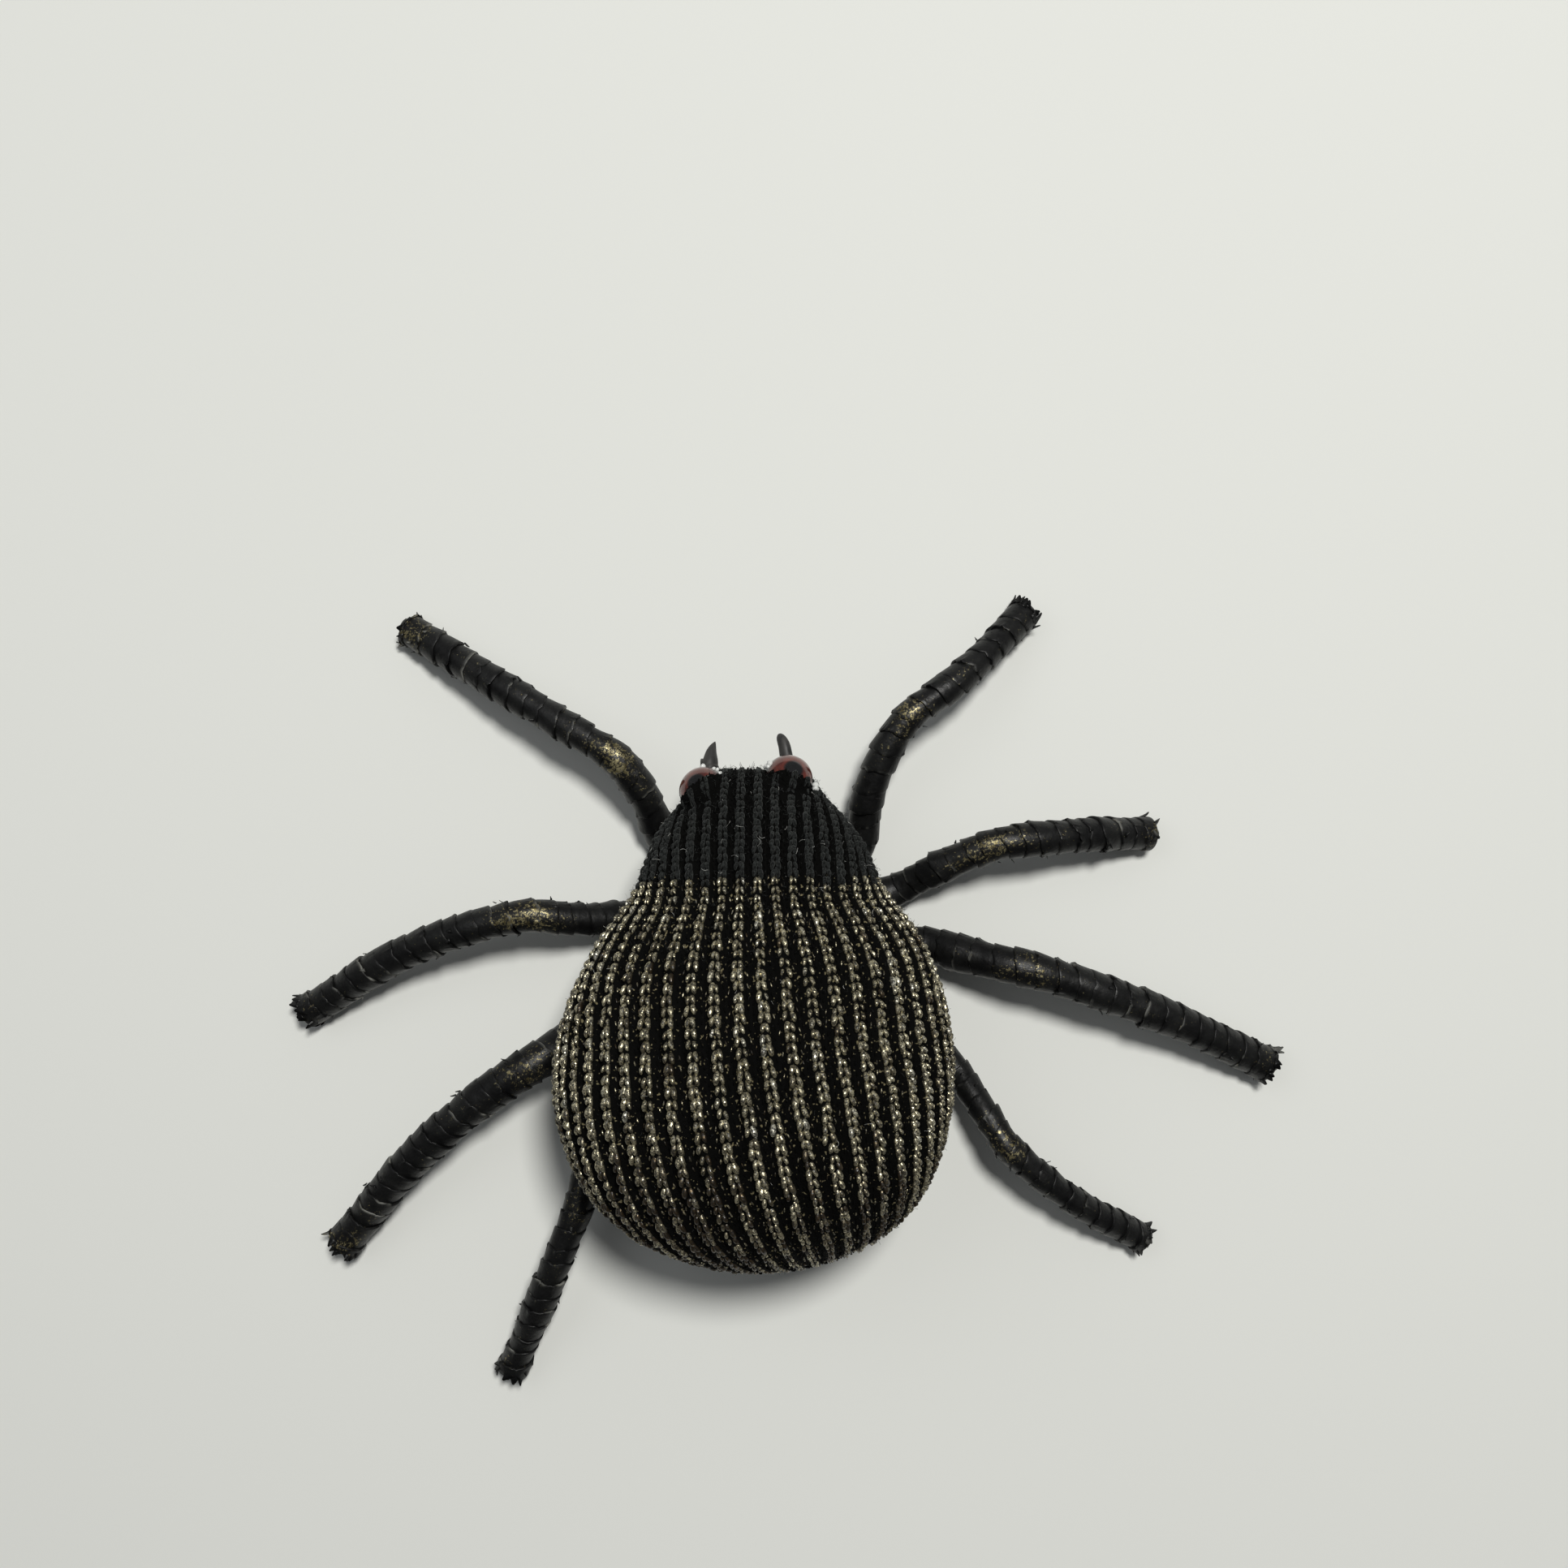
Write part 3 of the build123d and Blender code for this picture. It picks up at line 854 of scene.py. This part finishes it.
def wound_strip(leg, first, last, step):
    """The strip from one distance along the leg to another, as a ribbon wound over its own edge."""
    count = int((last - first) / step * TURN_POINTS) + 1
    raw = np.linspace(first, last, count)
    angle = raw / step * 2 * math.pi
    across = np.array(STRIP_ACROSS) * step
    tooth = np.clip(leg.rough(raw, 0.055) - 0.62, 0, 0.38) / 0.38
    tear = 0.26 * leg.rough(raw, 0.16, 1) + 0.30 * leg.rough(raw, 0.9, 2)
    uneven = 0.42 * leg.rough(raw, 2.9, 3) + 0.25 * leg.rough(raw, 7.0, 4)
    fade = np.clip(1 - across / step * 1.6, 0, 1)
    place = raw[:, None] + across + uneven[:, None] - (tear - 0.25 * tooth)[:, None] * fade
    place = np.clip(place, 0.0, leg.length)
    lumps = 0.13 * leg.rough(raw, 1.7, 5)[:, None] + 0.16 * leg.rough(place, 3.3, 6)
    end = np.clip((place - leg.length + 3.0) / 3.0, 0, 1)
    loose = np.clip(leg.rough(raw, 0.5, 7), 0, 1) * 0.12 + 0.24 * tooth
    radius = (leg.radius - 0.30 + lumps + STRIP_THICKNESS * np.array(STRIP_HEIGHT)
              + loose[:, None] * np.array(LIFTED) + 0.18 * end)
    around = np.repeat(angle[:, None], len(across), 1)
    points = leg.at(place, around, radius)
    points[..., 2] = np.maximum(points[..., 2], 0.02)
    up = np.clip(unit(points - leg.at(place, around, radius * 0))[..., 2], 0, 1)
    edge = np.repeat(np.array(STRIP_EDGE)[None, :], count, 0)
    return (points.reshape(-1, 3), grid_faces(count, len(across)),
            {"gilt": leg.gilt(place, up).ravel(), "edge": edge.ravel()})


def flap(leg, place, angle, long, wide, lift, sweep):
    """A small torn corner of the strip: a thin curling tongue."""
    t = np.array([0.0, 0.35, 0.7, 1.0])
    across = np.array([-1.0, 1.0, 1.0, -1.0])
    under = np.array([0.0, 0.0, 1.0, 1.0])
    width = wide * (1 - 0.85 * t ** 1.3)
    spots = place + long * t[:, None] * math.cos(sweep) + 0 * across
    around = angle + (across * width[:, None] / 2 + long * t[:, None] * math.sin(sweep)) / leg.radius
    radius = leg.radius + 0.02 + lift * t[:, None] ** 1.4 - 0.14 * under
    beyond = np.maximum(spots - leg.length + 0.05, 0)
    way = unit(leg.line[-1] - leg.line[-4])
    points = leg.at(np.minimum(spots, leg.length - 0.05), around, radius) + beyond[..., None] * way
    points[..., 2] = np.maximum(points[..., 2], 0.02)
    faces = grid_faces(4, 4, around=True).tolist() + [[3, 2, 1, 0], [12, 13, 14, 15]]
    total = len(t) * len(across)
    up = np.clip(math.sin(angle), 0.2, 1)
    return points.reshape(-1, 3), faces, {"gilt": leg.gilt(np.full(total, place), np.full(total, up)),
                                          "edge": np.full(total, 0.6)}


def torn_tip(leg):
    """The crumpled end of the strip: a ragged sunk cap ringed with torn corners."""
    rings, sides = 9, 48
    angle = turns(sides)
    around = leg.rough(angle * 1.0, 0.35, 8) * (1 - np.exp(-((angle - 2 * math.pi) / 0.4) ** 2))
    points = []
    for ring in range(rings):
        share = ring / (rings - 1)
        radius = (leg.radius - 0.05) * (1 + 0.10 * around) * (1 - share ** 1.6) + 0.03
        crumple = 0.35 * leg.rough(angle * 2 + ring * 3.0, 0.5, 9) * math.sin(math.pi * share)
        beyond = 0.75 * math.sin(share * math.pi) - 0.35 * share + crumple + 0.25 * around * (1 - share)
        points.append(leg.at(np.full(sides, leg.length - 0.4), angle, radius)
                      + beyond[:, None] * unit(leg.line[-1] - leg.line[-4]))
    points = np.array(points)
    points[..., 2] = np.maximum(points[..., 2], 0.02)
    up = np.full(rings * sides, 0.75)
    return (points.reshape(-1, 3), grid_faces(rings, sides, around=True),
            {"gilt": leg.gilt(np.full(rings * sides, leg.length), up), "edge": np.full(rings * sides, 0.25)})


def make_legs(material):
    """Each leg's strip in two pieces: one from the glue to halfway between root and knee, the other from
    there to the torn tip.
    """
    for number, name in enumerate(GILT):
        leg = Leg(name, 100 + number)
        rng = leg.rng
        step = STRIP_STEP * rng.uniform(0.94, 1.08)
        seam = (leg.root_at + leg.knee_at) / 2
        upper_corners, lower_corners = [], []
        for _ in range(16):
            place = rng.uniform(leg.root_at, leg.length - 1)
            made = flap(leg, place, rng.uniform(0, 2 * math.pi), rng.uniform(0.4, 0.8), rng.uniform(0.4, 0.9),
                        rng.uniform(0.25, 0.6), rng.uniform(-1.2, 1.2))
            (upper_corners if place < seam else lower_corners).append(made)
        for _ in range(18):
            lower_corners.append(flap(leg, leg.length - rng.uniform(0.2, 1.2), rng.uniform(0, 2 * math.pi),
                                      rng.uniform(0.6, 1.5), rng.uniform(0.8, 1.8), rng.uniform(0.0, 0.8),
                                      rng.uniform(-0.6, 0.6)))
        strips = {
            "upper": ("root", leg.root_at, [wound_strip(leg, leg.start_at, seam, step), *upper_corners]),
            "lower": ("knee", leg.knee_at,
                      [wound_strip(leg, seam, leg.length - 0.6, step), torn_tip(leg), *lower_corners]),
        }
        replaced = {"upper": [f"{name}_root_wrap", f"{name}_upper_wrap"], "lower": [f"{name}_lower_wrap"]}
        for part, (bend, at, shapes) in strips.items():
            piece = make_piece(f"{name}_winding_{part}", joined(*shapes), material)
            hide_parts(*replaced[part])
            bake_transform(piece)


# ------------------------------------------------------------------ face
def make_eye(side, eye, material, body_name):
    """A doll's eye: one crowned dome, its rim rolled under."""
    rings, sides = 26, 56
    angle = turns(sides)
    round_about = np.cos(angle)[:, None] * eye.across + np.sin(angle)[:, None] * eye.over
    points = [eye.centre + 0.93 * eye.radius * round_about]
    out = [np.ones(sides)]
    for ring in range(rings):
        share = math.cos(ring / (rings - 1) * math.pi / 2) ** 0.8
        points.append(eye.centre + eye.looks * eye.level(share * eye.radius)
                      + eye.radius * max(share, 0.004) * round_about)
        out.append(np.full(sides, share))
    shape = (np.vstack(points), tube_faces(rings + 1, sides), {"out": np.concatenate(out)})
    piece = make_piece(f"{side}_eye", shape, material, body_name)
    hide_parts(f"{side}_eye_dome", f"{side}_eye_backing")


def make_fang(side, material, body_name):
    """A small claw bowed outward: the left one narrows to a hook, the right one is blunt like a leaf."""
    co = np.array([v.co for v in nodes[f"{side}_fang"].data.vertices]) / MM
    order = np.argsort(co[:, 1])
    middles = [co[part].mean(0) for part in np.array_split(order, 8)]
    line = curve_through([*middles, co[order[-1]]], 0.12, 0.4)
    line = line[:int(len(line) * FANG_LENGTH)]
    normal, binormal = carried_frames(line)
    base, tip, narrowing = FANGS[side]
    sides = 24
    angle = turns(sides)
    points = []
    for k, place in enumerate(line):
        share = k / (len(line) - 1)
        radius = (tip + (base - tip) * (1 - share) ** narrowing) * math.sqrt(max(1 - share ** 9, 0)) + 0.02
        ring = np.cos(angle)[:, None] * normal[k] * 0.85 + np.sin(angle)[:, None] * binormal[k]
        points.append(place + radius * ring)
    shape = (np.vstack(points), tube_faces(len(line), sides), {})
    piece = make_piece(f"{side}_claw", shape, material, body_name)
    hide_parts(f"{side}_fang")


def make_hub(material, body_name, rng):
    """The lump of glue the legs are set in: a slumped mound with runs down its side."""
    low, high = (np.array(list(corner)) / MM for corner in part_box("hub_glue"))
    middle = (low + high) / 2
    radius = (high[0] - low[0]) / 2
    rings, sides = 40, 120
    turn = turns(sides)
    phases = rng.uniform(0, 2 * math.pi, (9, 2))
    points = []
    for share in np.linspace(0, 1, rings):
        runs = sum(np.sin((k + 2) * turn + a + 1.6 * share * math.sin(b)) / (k + 3)
                   for k, (a, b) in enumerate(phases))
        sag = -0.06 * (1 - share) ** 3 - 0.02
        ripple = np.sin(5 * turn + 9 * share + phases[0, 0]) * math.sin(4 * math.pi * share)
        lumps = 0.022 * runs + 0.012 * ripple
        reach = radius * (1.0 - sag + lumps)
        height = np.full(sides, low[2] + 0.02 + share * (high[2] - low[2]))
        points.append(np.stack([middle[0] + reach * np.cos(turn),
                                middle[1] + reach * np.sin(turn), height], -1))
    shape = (np.vstack(points), tube_faces(rings, sides), {})
    piece = make_piece("hub_glue_mound", shape, material, body_name)
    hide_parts("hub_glue")


def glue_crumbs(eyes, rng):
    """Beads of clear glue squeezed out round the rims of the eyes."""
    along, angle, radius, faces = bean(5, 8)
    parts = []
    for eye, places in zip(eyes, (((48, 0.98, 6), (100, 1.0, 2)), ((150, 1.0, 9), (-28, 1.12, 5)))):
        for bearing, far, count in places:
            for _ in range(count):
                turn = math.radians(bearing + rng.uniform(-14, 14))
                way = np.array([math.cos(turn), math.sin(turn), 0.0])
                way = unit(way - eye.looks * (way @ eye.looks))
                middle = eye.centre + way * eye.radius * far * rng.uniform(0.92, 1.08)
                middle = middle + eye.looks * rng.uniform(0.3, 1.5)
                size = rng.uniform(0.25, 0.5)
                lumps = 1 + 0.2 * rng.normal(0, 1, len(along))
                spot = (np.outer((along - 0.5) * 2 * size, eye.looks)
                        + (radius * size * lumps)[:, None] * (np.cos(angle)[:, None] * eye.across
                                                              + np.sin(angle)[:, None] * eye.over))
                parts.append((middle + spot, faces, {}))
    return joined(*parts)


# ------------------------------------------------------------------ everything
def dress(node, material):
    """A CAD node's own mesh stays as it is, in a better material."""
    nodes[node].data.materials.clear()
    nodes[node].data.materials.append(material)


def make_camera():
    data = bpy.data.cameras.new("view")
    data.sensor_fit = "HORIZONTAL"
    data.angle = 2 * math.atan(HALF_VIEW)
    data.clip_start = 0.005
    camera = bpy.data.objects.new("view", data)
    camera.location = CAMERA
    bpy.context.scene.collection.objects.link(camera)
    bpy.context.scene.camera = camera


def add_light(name, place, size, power, colour):
    """A round soft light aimed at the spider."""
    data = bpy.data.lights.new(name, "AREA")
    data.shape = "DISK"
    data.size = size
    data.energy = power
    data.color = colour
    light = bpy.data.objects.new(name, data)
    light.location = Vector(place)
    light.rotation_euler = (-Vector(place)).to_track_quat("-Z", "Y").to_euler()
    bpy.context.scene.collection.objects.link(light)


def make_world():
    """Soft light from all round: brighter from in front of the spider than from behind it."""
    world = bpy.data.worlds.new("room")
    world.use_nodes = True
    tree = world.node_tree
    where = tree.nodes.new("ShaderNodeTexCoord")
    parts = tree.nodes.new("ShaderNodeSeparateXYZ")
    slope = tree.nodes.new("ShaderNodeMapRange")
    tree.links.new(where.outputs["Generated"], parts.inputs[0])
    tree.links.new(parts.outputs["Y"], slope.inputs["Value"])
    for key, number in (("From Min", -1.0), ("From Max", 1.0), ("To Min", 0.03), ("To Max", 0.22)):
        slope.inputs[key].default_value = number
    tree.links.new(slope.outputs["Result"], tree.nodes["Background"].inputs["Strength"])
    tree.nodes["Background"].inputs["Color"].default_value = (0.96, 0.98, 1.0, 1)
    bpy.context.scene.world = world


def make_stage():
    floor = bpy.data.meshes.new("floor")
    half = FLOOR_SIZE / 2
    corners = [(-half, -half, 0), (half, -half, 0), (half, half, 0), (-half, half, 0)]
    floor.from_pydata(corners, [], [(0, 1, 2, 3)])
    floor.materials.append(pale_floor())
    ground = bpy.data.objects.new("floor", floor)
    bpy.context.scene.collection.objects.link(ground)
    make_world()
    bpy.context.scene.view_settings.view_transform = "Standard"
    for light in LIGHTS:
        add_light(*light)


make_camera()
make_stage()
root_body = "spider_body"
wire = bare_wire()
for name in nodes:
    if name.endswith("_wire"):
        dress(name, wire)
strip = leatherette()
glue = set_glue()
dress("stuffing", white_fill())
dress("closing_thread", black_yarn("sewing_thread", (0.01, 0.01, 0.01, 1), (0.05, 0.05, 0.05, 1), 0.1))
thick_glue = clear_glue()
dress("eye_glue", thick_glue)
dress("belly_patch", strip)
sides = ("left", "right")
eyes = [Eye(side) for side in sides]
make_hub(thick_glue, root_body, np.random.default_rng(11))
make_body(root_body, eyes)
make_legs(strip)
eye_material = eye_glass()
horn = fang_horn()
for side, eye in zip(sides, eyes):
    make_eye(side, eye, eye_material, root_body)
    make_fang(side, horn, root_body)
crumbs = make_piece("eye_glue_crumbs", glue_crumbs(eyes, np.random.default_rng(5)), glue, root_body)
